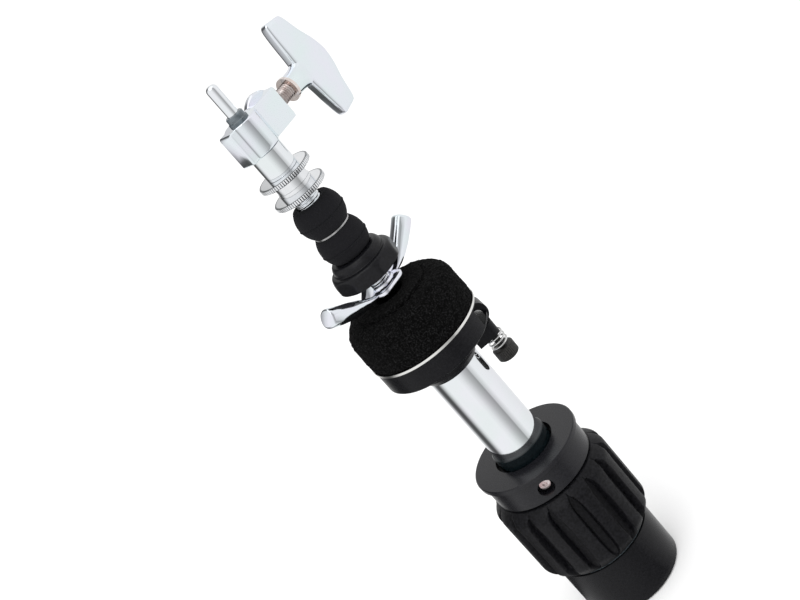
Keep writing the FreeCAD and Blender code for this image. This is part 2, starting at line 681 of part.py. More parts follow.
bulge_soft = rounded("bulge_rounded", bulge, s.block_round * 0.4, lambda edge: len(edge.Vertexes) == 1)
ear = cylinder("block_ear", s.ear_radius, s.ear_depth, x=s.ear_reach, y=s.ear_front,
               z=s.bolt_height, axis=Vector(1, 0, 0), angle=-90.0)
ear_soft = rounded("ear_rounded", ear, s.block_round * 0.5, lambda edge: len(edge.Vertexes) == 1)
cap_bottom = block_top - s.cap_spigot
block_bore = turned("block_bore", [
    (ZERO, s.block_bottom - 1.0), (s.spigot_radius, s.block_bottom - 1.0),
    (s.spigot_radius, s.block_bottom + s.spigot_height),
    (rod_hole + 0.1, s.block_bottom + s.spigot_height), (rod_hole + 0.1, cap_bottom),
    (s.cap_spigot_radius, cap_bottom), (s.cap_spigot_radius, block_top + 1.0), (ZERO, block_top + 1.0)])
bolt_play = Size(0.05)
bolt_bore = radial("bolt_bore", s.bolt_radius + bolt_play, Size(1.0),
                   s.ear_reach + s.ear_radius + 2.0, s.bolt_height, 0.0)
piece(cut("block_cut", fused("block_solid", block_soft, bulge_soft, ear_soft),
          fused("block_tools", block_bore, bolt_bore)), "clutch_body")
cap_top = block_top + s.cap_height
piece(turned("cap_turned", [
    (rod_hole, cap_bottom), (s.cap_spigot_radius, cap_bottom), (s.cap_spigot_radius, block_top),
    (s.cap_radius + 0.5, block_top), (s.cap_radius + 0.5, block_top + 1.0),
    (s.cap_radius, block_top + 1.4), (s.cap_radius, cap_top - 0.5), (s.cap_radius - 0.5, cap_top),
    (rod_hole, cap_top)]), "clutch_top_bush")

shoe = radial("shoe_rod", s.shoe_radius, s.rod_radius * 0.3, s.bolt_start, s.bolt_height, 0.0)
shoe_hollow = cylinder("shoe_hollow", s.rod_radius + 0.05, s.shoe_radius * 4,
                       z=s.bolt_height - s.shoe_radius * 2)
piece(cut("shoe_cut", shoe, shoe_hollow), "clamp_shoe")
washer_end = s.bolt_washer_start + s.bolt_washer_height
washer_disc = radial("washer_disc", s.bolt_washer_radius, s.bolt_washer_start, washer_end,
                     s.bolt_height, 0.0)
washer_hole = radial("washer_hole", s.bolt_radius, s.bolt_washer_start - 1.0, washer_end + 1.0,
                     s.bolt_height, 0.0)
piece(cut("washer_cut", washer_disc, washer_hole), "wing_bolt_washer")

bolt_shank = radial("bolt_shank", s.bolt_radius, s.bolt_start, washer_end + 1.0, s.bolt_height, 0.0)
bolt_stem = radial("bolt_stem", s.wing_stem_radius, washer_end, s.wing_inner + 5.0, s.bolt_height, 0.0)
wing_body = doc.addObject("PartDesign::Body", "wing_plate")
wing_sketch = new_sketch(wing_body, "wing_outline", "XZ_Plane")
half = s.wing_half_length
upper_half = [
    (s.wing_outer, half * 0.08), (s.wing_outer - 1.4, half * 0.33),
    (s.wing_outer - 4.2, half * 0.62), (s.wing_outer - 7.8, half * 0.86),
    (s.wing_outer - 11.8, half), (s.wing_inner + 0.6, half * 0.96),
    (s.wing_inner - 0.2, half * 0.78), (s.wing_inner - 1.8, half * 0.4),
    (s.wing_inner - 4.6, s.wing_stem_radius)]
lower_half = [(x, -z) for x, z in reversed(upper_half)]
polygon(wing_sketch, upper_half + lower_half)
wing_pad = wing_body.newObject("PartDesign::Pad", "wing_pad")
wing_pad.Profile = wing_sketch
wing_pad.Midplane = True
wing_pad.setExpression("Length", s.wing_thickness.text)
wing_sketch.Visibility = False
wing_soft = rounded("wing_rounded", wing_body, s.wing_thickness * 0.3,
                    lambda edge: edge.BoundBox.YLength < 0.01)
place(wing_body, z=s.bolt_height, axis=Vector(1, 0, 0), angle=WING_ANGLE)
piece(fused("wing_bolt_fused", bolt_shank, bolt_stem, wing_soft), "clutch_wing_bolt")


def lock_nut(name, hub_radius, hub_bottom, hub_top, disc_bottom, disc_top):
    """A threaded ring: a plain hub and a knurled disc at one end of it."""
    bore = s.sleeve_thread_radius + bolt_play
    bevel = Size(0.4)
    disc = [(s.lock_nut_radius - bevel, disc_bottom), (s.lock_nut_radius, disc_bottom + bevel),
            (s.lock_nut_radius, disc_top - bevel), (s.lock_nut_radius - bevel, disc_top)]
    if float(hub_bottom) < float(disc_bottom):
        outline = [(bore, hub_bottom), (hub_radius, hub_bottom), (hub_radius, disc_bottom)]
        outline += disc + [(bore, disc_top)]
    else:
        outline = [(bore, disc_bottom)] + disc
        outline += [(hub_radius, disc_top), (hub_radius, hub_top), (bore, hub_top)]
    nut = turned(name, outline)
    return knurled(name, nut, s.lock_nut_radius, disc_bottom, disc_top, s.knurl_count, s.knurl_depth)


upper_disc_top = s.barrel_bottom - s.nut_gap
upper_disc_bottom = upper_disc_top - s.lock_nut_disc
upper_hub_bottom = upper_disc_bottom - s.upper_nut_hub
piece(lock_nut("upper_nut", s.upper_nut_hub_radius, upper_hub_bottom, upper_disc_bottom,
               upper_disc_bottom, upper_disc_top), "upper_lock_nut")
lower_hub_top = upper_hub_bottom - s.nut_gap
lower_disc_top = lower_hub_top - s.lower_nut_hub
lower_disc_bottom = lower_disc_top - s.lock_nut_disc
piece(lock_nut("lower_nut", s.lower_nut_hub_radius, lower_disc_top, lower_hub_top,
               lower_disc_bottom, lower_disc_top), "lower_lock_nut")


# ---- cymbal felts and washers --------------------------------------------------------------------
def ball(name, radius, bottom, height):
    """A felt ball with flat ends and a hole for the threaded sleeve."""
    sphere = place(bind(doc.addObject("Part::Sphere", f"{name}_sphere"), Radius=radius),
                   z=bottom + height / 2)
    slab = cylinder(f"{name}_slab", radius + 1.0, height, z=bottom)
    flat = doc.addObject("Part::Common", f"{name}_flat")
    flat.Base = sphere
    flat.Tool = slab
    hole = cylinder(f"{name}_hole", s.sleeve_thread_radius + s.felt_clearance, height + 2.0,
                    z=bottom - 1.0)
    return cut(f"{name}_cut", flat, hole)


sleeve_hole = s.sleeve_thread_radius + s.felt_clearance
thin_washer_bottom = s.upper_ball_bottom - s.thin_washer_height
piece(ball("upper_ball", s.upper_ball_radius, s.upper_ball_bottom, s.upper_ball_height),
      "upper_ball_felt")
piece(ring("thin_washer", sleeve_hole, s.thin_washer_radius, thin_washer_bottom, s.upper_ball_bottom),
      "felt_washer")
piece(ball("lower_ball", s.lower_ball_radius, thin_washer_bottom - s.lower_ball_height,
           s.lower_ball_height), "lower_ball_felt")
tier_top = thin_washer_bottom - s.lower_ball_height
tier_step = tier_top - s.lobed_upper_height
tier_round = Size(1.0)
tiers = turned("tiers", [
    (sleeve_hole, s.lobed_washer_bottom), (s.lobed_lower_radius - tier_round, s.lobed_washer_bottom),
    (s.lobed_lower_radius, s.lobed_washer_bottom + tier_round),
    (s.lobed_lower_radius, tier_step - tier_round * 2), (s.lobed_lower_radius - tier_round, tier_step),
    (s.lobed_upper_radius, tier_step), (s.lobed_upper_radius, tier_step + tier_round * 2),
    (s.lobed_upper_radius - tier_round, tier_top - tier_round),
    (s.lobed_upper_radius - tier_round * 3, tier_top), (sleeve_hole, tier_top)])
octagon = place(bind(doc.addObject("Part::Prism", "octagon"), Polygon=int(s.lobe_count),
                     Circumradius=s.lobe_corner_radius, Height=tier_top - s.lobed_washer_bottom),
                z=s.lobed_washer_bottom, angle=180.0 / float(s.lobe_count))
flats = doc.addObject("Part::Common", "flats")
flats.Base = tiers
flats.Tool = octagon
piece(flats, "lobed_washer")

# ---- wing nut ------------------------------------------------------------------------------------
base_top = s.clutch_bottom + s.wing_nut_base_height
hub_rim = Size(0.5)
hub = turned("wing_nut_hub", [
    (s.sleeve_thread_radius + bolt_play, s.clutch_bottom),
    (s.wing_nut_base_radius - hub_rim, s.clutch_bottom),
    (s.wing_nut_base_radius, s.clutch_bottom + hub_rim), (s.wing_nut_base_radius, base_top - hub_rim),
    (s.wing_nut_base_radius - hub_rim, base_top), (s.wing_nut_hub_radius, base_top),
    (s.wing_nut_hub_radius, s.clutch_bottom + s.wing_nut_hub_height),
    (s.sleeve_thread_radius + bolt_play, s.clutch_bottom + s.wing_nut_hub_height)])


def arm_stretch(name, side, start, end, start_thickness, end_thickness):
    """A round tapered bar between two (radius, height) points on one side of the nut."""
    run = end[0] - start[0]
    rise = end[1] - start[1]
    cone = bind(doc.addObject("Part::Cone", name), Radius1=start_thickness, Radius2=end_thickness,
                Height=math.hypot(run, rise))
    return place(cone, x=start[0] * side, z=s.clutch_bottom + start[1], axis=Vector(0, 1, 0),
                 angle=math.degrees(math.atan2(run, rise)) * side)


arm_start = (s.arm_start_radius, s.arm_start_height)
arm_knee = (s.arm_knee_radius, s.arm_knee_height)
arm_end = (s.arm_end_radius, s.arm_end_height)
arms = []
for side, name, tip_round in ((1, "flat", 0.2), (-1, "round", 0.8)):
    arms.append(arm_stretch(f"{name}_root", side, arm_start, arm_knee, s.arm_root_thickness,
                            s.arm_knee_thickness))
    arms.append(place(bind(doc.addObject("Part::Sphere", f"{name}_knee"), Radius=s.arm_knee_thickness),
                      x=arm_knee[0] * side, z=s.clutch_bottom + arm_knee[1]))
    tip = arm_stretch(f"{name}_bar", side, arm_knee, arm_end, s.arm_knee_thickness,
                      s.arm_tip_thickness)
    arms.append(rounded(f"{name}_tip", tip, s.arm_tip_thickness * tip_round,
                        lambda edge: len(edge.Vertexes) == 1
                        and abs(edge.CenterOfMass.x) > float(s.arm_end_radius) - 3.0))
sleeve_room = cylinder("sleeve_room", s.sleeve_thread_radius + bolt_play, s.arm_end_height * 3,
                       z=s.clutch_bottom - s.arm_end_height)
piece(cut("wing_nut_cut", fused("wing_nut_solid", hub, *arms), sleeve_room), "clutch_wing_nut")

# ---- checks and export ---------------------------------------------------------------------------
doc.recompute()
for item in doc.Objects:
    if "Invalid" in item.State or "Error" in item.State:
        raise RuntimeError(f"{item.Name} failed: {item.State}")
labels = [item.Label for item in pieces]
if len(set(labels)) != len(labels):
    raise RuntimeError("two sub-parts share a name")
os.makedirs("parts", exist_ok=True)
for item in pieces:
    if item.Shape.isNull() or not item.Shape.isValid():
        raise RuntimeError(f"{item.Label} has no valid shape")
    item.Shape.exportStep(f"parts/{item.Label}.step")
    print(f"{item.Label:22s} {len(item.Shape.Solids)} solid(s) {item.Shape.Volume:10.1f} mm3")
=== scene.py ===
"""Looks for the hi-hat stand's upper unit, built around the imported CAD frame. Metres."""
import math

import bmesh
import bpy
from mathutils import Matrix, Vector, noise


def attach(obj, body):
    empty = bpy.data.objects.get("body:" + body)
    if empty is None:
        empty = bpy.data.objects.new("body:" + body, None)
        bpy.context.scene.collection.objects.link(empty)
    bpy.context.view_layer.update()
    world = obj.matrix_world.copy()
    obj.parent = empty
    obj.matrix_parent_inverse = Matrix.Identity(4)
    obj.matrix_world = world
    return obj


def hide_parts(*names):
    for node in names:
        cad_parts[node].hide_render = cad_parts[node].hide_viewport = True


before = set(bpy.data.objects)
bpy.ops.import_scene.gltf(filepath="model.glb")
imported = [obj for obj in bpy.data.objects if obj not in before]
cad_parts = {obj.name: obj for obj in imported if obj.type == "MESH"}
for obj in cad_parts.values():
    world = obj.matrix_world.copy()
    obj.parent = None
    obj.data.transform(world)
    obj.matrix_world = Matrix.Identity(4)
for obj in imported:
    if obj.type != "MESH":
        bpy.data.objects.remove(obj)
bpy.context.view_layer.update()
MM = 0.001

# ---- camera: the object's axis leans to the upper left in the picture
AZIMUTH = math.radians(-35.0)
ELEVATION = math.radians(21.6)
ROLL = math.radians(41.1)
TARGET = Vector((0.0, 0.0, 0.206))
DISTANCE = 0.675
SENSOR_WIDTH = 36.0
LENS = 63.0
SHIFT_RIGHT = 0.003375
SHIFT_UP = 0.003125
CLIP_START = 0.01

outward = Vector((math.sin(AZIMUTH) * math.cos(ELEVATION), -math.cos(AZIMUTH) * math.cos(ELEVATION),
                  math.sin(ELEVATION)))
level = Vector((math.cos(AZIMUTH), math.sin(AZIMUTH), 0.0))
upright = outward.cross(level)
right = level * math.cos(ROLL) - upright * math.sin(ROLL)
up = level * math.sin(ROLL) + upright * math.cos(ROLL)
camera_data = bpy.data.cameras.new("camera")
camera_data.sensor_width = SENSOR_WIDTH
camera_data.lens = LENS
camera_data.shift_x = SHIFT_RIGHT
camera_data.shift_y = SHIFT_UP
camera_data.clip_start = CLIP_START
camera = bpy.data.objects.new("camera", camera_data)
turn = Matrix((right, up, outward)).transposed()
camera.matrix_world = Matrix.Translation(TARGET + outward * DISTANCE) @ turn.to_4x4()
bpy.context.scene.collection.objects.link(camera)
bpy.context.scene.camera = camera

# ---- studio: white surround, pale floor, soft key light and a ring of reflector cards
SKY_STRENGTH = 1.12
world = bpy.data.worlds.new("studio")
bpy.context.scene.world = world
world.use_nodes = True
sky = world.node_tree.nodes["Background"]
sky.inputs["Color"].default_value = (1, 1, 1, 1)
sky.inputs["Strength"].default_value = SKY_STRENGTH
bpy.context.scene.view_settings.view_transform = "Standard"


def add_object(name, verts, faces):
    """A new mesh object with its normals turned outwards."""
    mesh = bpy.data.meshes.new(name)
    mesh.from_pydata(verts, [], faces)
    shape = bmesh.new()
    shape.from_mesh(mesh)
    bmesh.ops.recalc_face_normals(shape, faces=shape.faces)
    shape.to_mesh(mesh)
    shape.free()
    made = bpy.data.objects.new(name, mesh)
    bpy.context.scene.collection.objects.link(made)
    return made


def smooth(item, angle=32.0):
    """Smooth shading that stays sharp at edges steeper than the angle."""
    for face in item.data.polygons:
        face.use_smooth = True
    item.data.set_sharp_from_angle(angle=math.radians(angle))


def new_material(name, color, metallic, roughness, specular=0.5):
    """A principled material with its fixed values on the shader's own sockets."""
    made = bpy.data.materials.new(name)
    made.use_nodes = True
    shader = made.node_tree.nodes["Principled BSDF"]
    shader.inputs["Base Color"].default_value = (*color, 1.0)
    shader.inputs["Metallic"].default_value = metallic
    shader.inputs["Roughness"].default_value = roughness
    shader.inputs["Specular IOR Level"].default_value = specular
    return made


def add_node(made, kind, **settings):
    """A new shader node; each setting goes to the socket or the property of its name."""
    node = made.node_tree.nodes.new(kind)
    for key, value in settings.items():
        if key in node.inputs:
            node.inputs[key].default_value = value
        else:
            setattr(node, key, value)
    return node


def join(made, start, out, end, into):
    """Links an output of one node to an input of another."""
    made.node_tree.links.new(start.outputs[out], end.inputs[into])


def shader_of(made):
    """The material's principled shader."""
    return made.node_tree.nodes["Principled BSDF"]


def place_of(made, stretch=(1, 1, 1)):
    """The object's own coordinates, in metres, stretched along each axis."""
    where = add_node(made, "ShaderNodeTexCoord")
    scale = add_node(made, "ShaderNodeMapping")
    scale.inputs["Scale"].default_value = stretch
    join(made, where, "Object", scale, "Vector")
    return scale


def grain(made, scale, detail=4.0, stretch=(1, 1, 1)):
    """A noise pattern in the object's coordinates."""
    where = place_of(made, stretch)
    pattern = add_node(made, "ShaderNodeTexNoise", Scale=scale, Detail=detail)
    join(made, where, "Vector", pattern, "Vector")
    return pattern


def map_range(made, low, high, first=0.0, last=1.0):
    """A node that carries values from low..high over to first..last."""
    carried = add_node(made, "ShaderNodeMapRange")
    for key, value in (("From Min", low), ("From Max", high), ("To Min", first), ("To Max", last)):
        carried.inputs[key].default_value = value
    return carried


def vary_roughness(made, pattern, low, high):
    """Lets a pattern drive the roughness between two values."""
    spread = map_range(made, 0.3, 0.7, low, high)
    join(made, pattern, "Fac", spread, "Value")
    join(made, spread, "Result", shader_of(made), "Roughness")


def vary_color(made, pattern, first, second, low=0.35, high=0.65):
    """Lets a pattern blend two colours, between two of its values."""
    ramp = add_node(made, "ShaderNodeValToRGB")
    ramp.color_ramp.elements[0].position = low
    ramp.color_ramp.elements[0].color = (*first, 1)
    ramp.color_ramp.elements[1].position = high
    ramp.color_ramp.elements[1].color = (*second, 1)
    join(made, pattern, "Fac", ramp, "Fac")
    join(made, ramp, "Color", shader_of(made), "Base Color")


def add_bump(made, pattern, depth_mm, strength):
    """Lets a pattern drive fine relief of the given depth."""
    bump = add_node(made, "ShaderNodeBump")
    bump.inputs["Strength"].default_value = strength
    bump.inputs["Distance"].default_value = depth_mm * MM
    join(made, pattern, "Fac", bump, "Height")
    join(made, bump, "Normal", shader_of(made), "Normal")


def chrome(name, first, second, low, high, ripple=0.004):
    """Bright plating: a slow drift of tint, fine haze and faint polishing ripple."""
    made = new_material(name, first, 1.0, low)
    vary_color(made, grain(made, 60.0, 2.0), first, second)
    vary_roughness(made, grain(made, 420.0, 6.0), low, high)
    add_bump(made, grain(made, 240.0, 3.0), ripple, 0.5)
    return made


def lathe_turned(name, first, second, low, high, pitch=3000.0, depth=0.004):
    """Turned metal: fine rings round the axis over a slightly uneven finish."""
    made = new_material(name, first, 1.0, low)
    vary_color(made, grain(made, 300.0, 5.0), first, second)
    vary_roughness(made, grain(made, 800.0, 5.0, (0.2, 0.2, 3.0)), low, high)
    add_bump(made, grain(made, pitch, 1.0, (0.02, 0.02, 1.0)), depth, 0.6)
    return made


def coated(name, first, second, low, high, specular, scale, depth):
    """Black paint, plastic or casting: fine grain in tint, gloss and surface."""
    made = new_material(name, first, 0.0, low, specular)
    vary_color(made, grain(made, scale * 0.35, 6.0), first, second)
    vary_roughness(made, grain(made, scale * 0.8, 4.0), low, high)
    add_bump(made, grain(made, scale, 3.0), depth, 0.8)
    return made


def wool(name, first, second, pile, depth, sheen):
    """Felt: clumped pile with loose pale fibres over dark wool."""
    made = new_material(name, first, 0.0, 0.95, 0.1)
    fibres = grain(made, pile, 8.0)
    vary_color(made, fibres, first, second, 0.50, 0.80)
    add_bump(made, fibres, depth, 1.0)
    shader_of(made).inputs["Sheen Weight"].default_value = sheen
    shader_of(made).inputs["Sheen Roughness"].default_value = 0.45
    shader_of(made).inputs["Sheen Tint"].default_value = (0.75, 0.75, 0.8, 1)
    return made


FLOOR_REACH = 4
floor_material = new_material("floor_paint", (0.95, 0.95, 0.95), 0.0, 0.9, 0.0)
floor_corners = [(x * FLOOR_REACH, y * FLOOR_REACH, 0) for x, y in ((-1, -1), (1, -1), (1, 1), (-1, 1))]
floor = add_object("floor", floor_corners, [(0, 1, 2, 3)])
floor.data.materials.append(floor_material)

CARD_RADIUS = 0.21
CARD_TOP = 0.62
CARD_LOW = 0.002
CARD_INNER = 0.03
CARD_SIDES = 72
# the cards' pattern widens between these heights; above them, bearings count by this share
SWING_LOW = 0.212
SWING_HIGH = 0.236
SWING_SHARE = 0.80
# angle from the camera's side towards the picture's right, and the card's brightness there
CARDS = ((-180, 0.90), (-152, 0.90), (-134, 0.45), (-126, 0.16), (-112, 0.07), (-103, 0.12),
         (-95, 0.42), (-86, 0.76), (-76, 0.92), (-20, 0.92), (-6, 0.82), (8, 0.62), (17, 0.50),
         (26, 0.42), (35, 0.34), (38, 0.60), (46, 0.72), (58, 0.90), (72, 0.90), (130, 0.84),
         (150, 0.86))
CARD_PROFILE = ((CARD_INNER, CARD_LOW), (CARD_RADIUS, CARD_LOW), (CARD_RADIUS, CARD_TOP))
ring_verts = []
for number in range(CARD_SIDES):
    angle = 2 * math.pi * number / CARD_SIDES
    for radius, height in CARD_PROFILE:
        ring_verts.append((radius * math.sin(angle), -radius * math.cos(angle), height))
ring_faces = [(3 * k + j, (3 * k + 3) % (3 * CARD_SIDES) + j, (3 * k + 3) % (3 * CARD_SIDES) + j + 1,
               3 * k + j + 1) for k in range(CARD_SIDES) for j in (0, 1)]
cards = add_object("cards", ring_verts, ring_faces)
cards.rotation_euler = (0, 0, AZIMUTH)
cards.visible_camera = False
cards.visible_diffuse = False
cards.visible_shadow = False
cards.visible_transmission = False
card_material = bpy.data.materials.new("card_light")
card_material.use_nodes = True
card_material.node_tree.nodes.remove(shader_of(card_material))
glow = add_node(card_material, "ShaderNodeEmission")
split = add_node(card_material, "ShaderNodeSeparateXYZ")
join(card_material, place_of(card_material), "Vector", split, "Vector")
flip = add_node(card_material, "ShaderNodeMath", operation="MULTIPLY")
flip.inputs[1].default_value = -1.0
join(card_material, split, "Y", flip, 0)
bearing = add_node(card_material, "ShaderNodeMath", operation="ARCTAN2")
join(card_material, split, "X", bearing, 0)
join(card_material, flip, "Value", bearing, 1)
share = map_range(card_material, -math.pi, math.pi)
swing = map_range(card_material, SWING_LOW, SWING_HIGH, 1.0, SWING_SHARE)
join(card_material, split, "Z", swing, "Value")
swung = add_node(card_material, "ShaderNodeMath", operation="MULTIPLY")
join(card_material, bearing, "Value", swung, 0)
join(card_material, swing, "Result", swung, 1)
join(card_material, swung, "Value", share, "Value")
shades = add_node(card_material, "ShaderNodeValToRGB")
join(card_material, share, "Result", shades, "Fac")
stops = shades.color_ramp.elements
for number, (angle, bright) in enumerate(CARDS):
    spot = (angle + 180) / 360
    stop = stops[0] if number == 0 else stops.new(spot)
    stop.position = spot
    stop.color = (bright, bright, bright, 1)
stops[-1].color = (0.90, 0.90, 0.90, 1)
join(card_material, shades, "Color", glow, "Color")
join(card_material, glow, "Emission", card_material.node_tree.nodes["Material Output"], "Surface")
cards.data.materials.append(card_material)


def soft_light(name, spot, size, watts):
    """A square lamp that faces the object."""
    data = bpy.data.lights.new(name, "AREA")
    data.size = size
    data.energy = watts
    item = bpy.data.objects.new(name, data)
    item.location = spot
    item.rotation_euler = (TARGET - Vector(spot)).to_track_quat("-Z", "Y").to_euler()
    bpy.context.scene.collection.objects.link(item)


soft_light("key", (-0.9, -0.5, 1.5), 0.9, 8.0)
soft_light("fill", (0.9, -1.1, 1.0), 0.8, 3.0)

# ---- finishes
CHROME = chrome("chrome_plating", (0.91, 0.92, 0.965), (0.87, 0.92, 0.93), 0.03, 0.075)
CHROME_CAST = chrome("chrome_casting", (0.88, 0.885, 0.965), (0.83, 0.915, 0.925), 0.05, 0.12, 0.012)
CHROME_NUT = lathe_turned("chrome_turning", (0.90, 0.91, 0.93), (0.84, 0.86, 0.88), 0.05, 0.14)
STEEL = lathe_turned("bright_steel", (0.80, 0.80, 0.80), (0.72, 0.72, 0.71), 0.14, 0.28)
DULL_STEEL = lathe_turned("dull_steel", (0.52, 0.52, 0.52), (0.36, 0.36, 0.36), 0.2, 0.35)
DARK_STEEL = lathe_turned("dark_steel", (0.10, 0.10, 0.10), (0.05, 0.05, 0.05), 0.3, 0.5)
PLATE = lathe_turned("plate_steel", (0.90, 0.89, 0.86), (0.82, 0.82, 0.80), 0.10, 0.2)
BRONZE = lathe_turned("bronze_washer", (0.86, 0.79, 0.75), (0.72, 0.62, 0.58), 0.10, 0.22)
BRASS = lathe_turned("turned_brass", (0.78, 0.62, 0.32), (0.66, 0.5, 0.24), 0.15, 0.3)
THREAD = lathe_turned("bolt_thread_steel", (0.60, 0.54, 0.52), (0.36, 0.29, 0.27), 0.15, 0.3)
BUSH = coated("bush_nylon", (0.05, 0.065, 0.075), (0.10, 0.125, 0.14), 0.10, 0.24, 0.9, 900.0, 0.01)
CAST_BLACK = coated("cast_black", (0.0035, 0.0035, 0.0045), (0.007, 0.007, 0.0085), 0.22, 0.34, 0.14,
                    2600.0, 0.012)
GLOSS_BLACK = coated("gloss_black", (0.0035, 0.0060, 0.0075), (0.0055, 0.0095, 0.0115), 0.14, 0.20, 0.42,
                     1800.0, 0.004)
GRIP_BLACK = coated("grip_moulding", (0.0015, 0.0015, 0.0022), (0.0080, 0.0080, 0.0100), 0.36, 0.52,
                    0.14, 2400.0, 0.16)
COLLAR_BLACK = coated("collar_black", (0.006, 0.006, 0.008), (0.010, 0.010, 0.0125), 0.20, 0.30, 0.3,
                      2600.0, 0.010)
RUBBER = coated("washer_rubber", (0.003, 0.003, 0.004), (0.006, 0.006, 0.008), 0.26, 0.40, 0.22,
                2400.0, 0.03)
KNURL_BLACK = coated("knurl_oxide", (0.008, 0.008, 0.008), (0.03, 0.028, 0.025), 0.38, 0.6, 0.4,
                     3800.0, 0.08)
BALL_FELT = wool("ball_wool", (0.0075, 0.0075, 0.0088), (0.016, 0.016, 0.0185), 2600.0, 0.05, 0.03)
SEAT_FELT = wool("seat_wool", (0.0001, 0.0001, 0.0001), (0.0240, 0.0240, 0.0250), 1500.0, 0.45, 0.0)
SCREW = lathe_turned("screw_nickel", (0.85, 0.82, 0.82), (0.5, 0.36, 0.36), 0.12, 0.3)


# sockets of the colour mix node
MIX_FIRST = 6
MIX_SECOND = 7
MIX_RESULT = 2


def painted_knurl_shade(made, radius_mm, ease_mm, color):
    """Paints shade into a thin band inside a radius from the upright axis: a darker colour in the knurl
    valleys that stands in for the shade in these recesses.
    """
    where = place_of(made, (1, 1, 0))
    reach = add_node(made, "ShaderNodeVectorMath", operation="LENGTH")
    join(made, where, "Vector", reach, 0)
    outer = map_range(made, (radius_mm - ease_mm) * MM, (radius_mm + ease_mm) * MM)
    join(made, reach, "Value", outer, "Value")
    inner = map_range(made, (radius_mm - 1.0) * MM, (radius_mm - 0.6) * MM)
    join(made, reach, "Value", inner, "Value")
    gap = add_node(made, "ShaderNodeMath", operation="SUBTRACT")
    join(made, inner, "Result", gap, 0)
    join(made, outer, "Result", gap, 1)
    shader = shader_of(made)
    unshaded_tone = shader.inputs["Base Color"].links[0].from_node
    # painted shade: a dark grey is mixed into the colour inside the valley band
    mix = add_node(made, "ShaderNodeMix", data_type="RGBA")
    join(made, gap, "Value", mix, "Factor")
    join(made, unshaded_tone, "Color", mix, MIX_FIRST)
    mix.inputs[MIX_SECOND].default_value = (*color, 1)
    join(made, mix, MIX_RESULT, shader, "Base Color")


# painted shade: the lock nuts' knurl valleys are darkened in colour to stand in for the shade in their
# recesses
painted_knurl_shade(CHROME_NUT, 13.98, 0.06, (0.16, 0.17, 0.18))

FINISHES = {
    "pull_rod": CHROME, "rod_spring_seat": STEEL, "rod_circlip": STEEL, "rod_coupling": STEEL,
    "lower_collar": CAST_BLACK, "core_tube": STEEL, "spring_carrier": STEEL, "return_spring": STEEL,
    "tension_dial_grip": GRIP_BLACK, "dial_thread_ring": BRASS, "dial_end_ring": STEEL,
    "dial_thrust_washers": BUSH, "upper_collar": COLLAR_BLACK, "tube_sleeve": GLOSS_BLACK,
    "collar_screws": SCREW, "upper_tube": CHROME, "lower_rod_bush": BUSH, "seat_base": CAST_BLACK,
    "seat_rod_bush": BUSH, "seat_hinge_pins": STEEL, "seat_cup": CAST_BLACK, "tilt_nut": STEEL,
    "seat_plate": PLATE, "seat_felt": SEAT_FELT, "seat_top_felt": SEAT_FELT, "tilt_knob": KNURL_BLACK,
    "tilt_screw": DARK_STEEL, "tilt_spring": STEEL, "clutch_tube": CHROME, "clutch_body": CHROME_CAST,
    "clutch_top_bush": BUSH, "clamp_shoe": BRASS, "wing_bolt_washer": BRONZE,
    "clutch_wing_bolt": CHROME_CAST, "upper_lock_nut": CHROME_NUT, "lower_lock_nut": CHROME_NUT,
    "upper_ball_felt": BALL_FELT, "felt_washer": DULL_STEEL, "lower_ball_felt": BALL_FELT,
    "lobed_washer": RUBBER, "clutch_wing_nut": CHROME_CAST}
for node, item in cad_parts.items():
    for slot in item.material_slots:
        slot.material = FINISHES[node]

# ---- piece building, in millimetres
def softened(points, radii, steps=5):
    """The closed outline with each corner replaced by a small arc of about the given size."""
    result = []
    count = len(points)
    for k, (corner, radius) in enumerate(zip(points, radii)):
        corner = Vector(corner)
        if radius == 0:
            result.append(tuple(corner))
            continue
        before = corner + (Vector(points[k - 1]) - corner).normalized() * radius
        after = corner + (Vector(points[(k + 1) % count]) - corner).normalized() * radius
        for step in range(steps + 1):
            t = step / steps
            spot = before * (1 - t) ** 2 + corner * 2 * t * (1 - t) + after * t ** 2
            result.append(tuple(spot))
    return result


def spaced(points, gap):
    """The closed outline with extra points so that none are farther apart than the gap."""
    result = []
    for k, start in enumerate(points):
        end = points[(k + 1) % len(points)]
        parts = max(1, math.ceil(math.dist(start, end) / gap))
        for part in range(parts):
            t = part / parts
            result.append((start[0] + (end[0] - start[0]) * t, start[1] + (end[1] - start[1]) * t))
    return result


def turned_skin(outline, sides, shape=None, spot=(0.0, 0.0)):
    """Verts and faces of an outline swept round an upright axis. shape(angle, radius, height)
    gives the radius."""
    verts = []
    for number in range(sides):
        angle = 2 * math.pi * number / sides
        for radius, height in outline:
            real = shape(angle, radius, height) if shape else radius
            verts.append(((spot[0] + real * math.cos(angle)) * MM, (spot[1] + real * math.sin(angle)) * MM,
                          height * MM))
    count = len(outline)
    faces = []
    for number in range(sides):
        here = number * count
        there = (number + 1) % sides * count
        for k in range(count):
            after = (k + 1) % count
            faces.append((here + k, there + k, there + after, here + after))
    return verts, faces


def lathe(name, outline, sides, shape=None, spot=(0.0, 0.0)):
    """A new object from a turned skin."""
    return add_object(name, *turned_skin(outline, sides, shape, spot))


def loft(rings):
    """Verts and faces of a closed skin over rings of equally many points, capped at both ends."""
    count = len(rings[0])
    verts = [tuple(value * MM for value in point) for ring in rings for point in ring]
    faces = [tuple(range(count)), tuple(reversed(range((len(rings) - 1) * count, len(rings) * count)))]
    for k in range(len(rings) - 1):
        for j in range(count):
            after = (j + 1) % count
            faces.append((k * count + j, k * count + after, (k + 1) * count + after, (k + 1) * count + j))
    return verts, faces


def several(name, skins):
    """One object from several closed skins."""
    verts = []
    faces = []
    for skin_verts, skin_faces in skins:
        base = len(verts)
        verts += skin_verts
        faces += [tuple(index + base for index in face) for face in skin_faces]
    return add_object(name, verts, faces)


